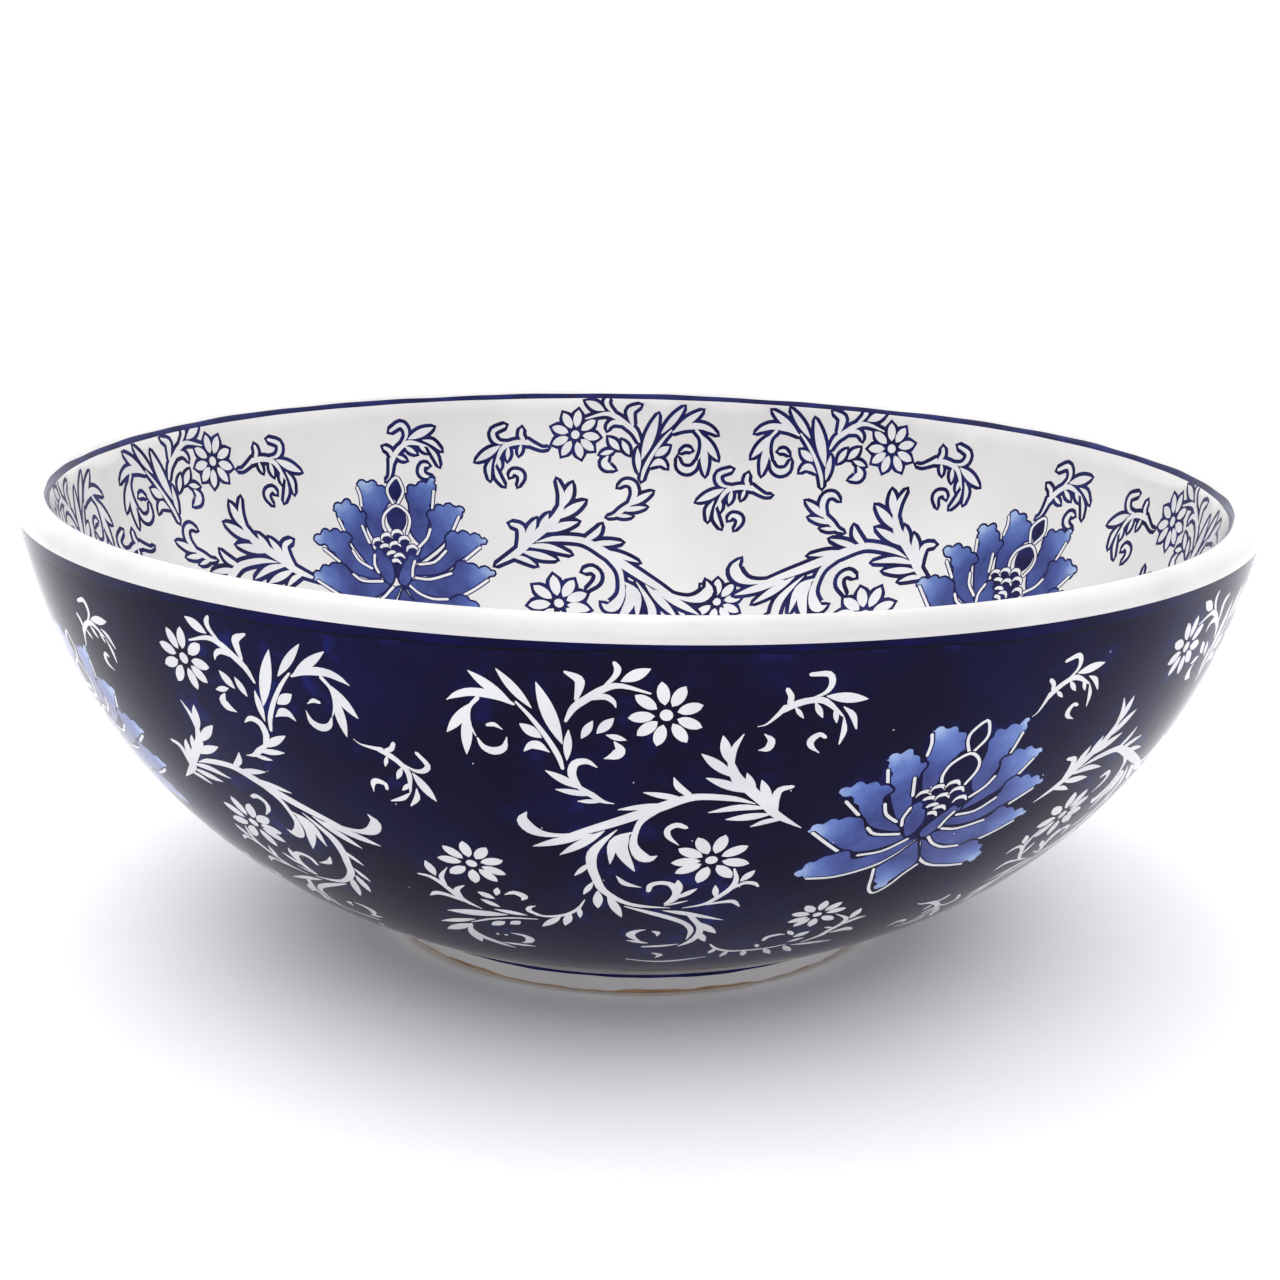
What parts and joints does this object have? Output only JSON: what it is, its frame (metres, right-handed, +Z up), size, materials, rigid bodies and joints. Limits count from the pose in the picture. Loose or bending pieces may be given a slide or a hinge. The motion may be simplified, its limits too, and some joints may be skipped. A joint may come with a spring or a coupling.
{
  "type": "serving bowl",
  "caption": "Large round porcelain serving bowl on a low foot ring, cobalt blue outside and white inside, with floral scrollwork.",
  "frame": {"origin": "centre of the foot ring's base, on the surface the bowl stands on", "axes": "+Z up along the axis the bowl is turned on"},
  "size_m": [0.4, 0.4, 0.15],
  "materials": {
    "clay_body": "fired bare clay, matt buff",
    "cobalt_glaze": "gloss deep cobalt glaze with reserved white floral scrollwork",
    "white_glaze": "gloss white glaze",
    "cobalt_line": "brushed cobalt blue under gloss glaze",
    "flower_blue": "shaded mid-blue flower petals under gloss glaze"
  },
  "bodies": {
    "root": {"clay_wall": "clay_body", "foot_ring": "clay_body", "outer_cobalt_glaze": "cobalt_glaze", "rim_white_glaze": "white_glaze", "inner_white_glaze": "white_glaze", "foot_white_glaze": "white_glaze", "underside_white_glaze": "white_glaze", "inner_rim_line": "cobalt_line", "foot_line": "cobalt_line"}
  },
  "joints": []
}
